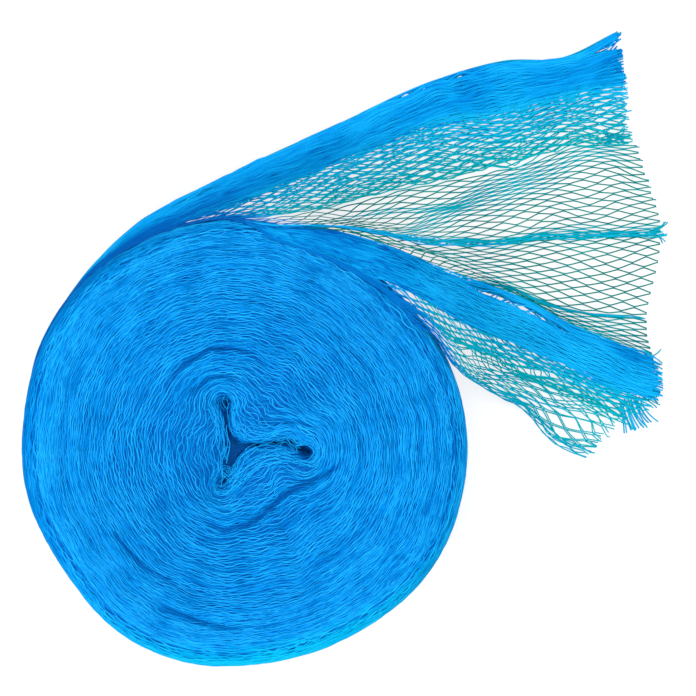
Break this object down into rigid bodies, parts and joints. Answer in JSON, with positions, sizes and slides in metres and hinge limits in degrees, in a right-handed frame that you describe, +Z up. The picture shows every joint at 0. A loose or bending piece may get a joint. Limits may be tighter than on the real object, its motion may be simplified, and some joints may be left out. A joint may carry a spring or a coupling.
{
  "type": "roll of bird netting",
  "caption": "Fine plastic bird netting wound into a flat round roll with a collapsed core, its loose end fanned out on the ground.",
  "frame": {"origin": "on the ground, under the middle of the whole object's box", "axes": "+Z up along the roll's axis, +X towards the cut edge of the loose end, +Y towards the outer edge that leaves the roll first"},
  "size_m": [0.3577, 0.3492, 0.0651],
  "materials": {
    "wound_net": "layers of fine blue plastic net, semi-matt with a soft sheen along the strands",
    "loose_net": "open blue plastic net, teal where a strand lies alone and blue where strands bunch"
  },
  "bodies": {
    "root": {"netting_roll": "wound_net", "loose_end": "loose_net"}
  },
  "joints": []
}
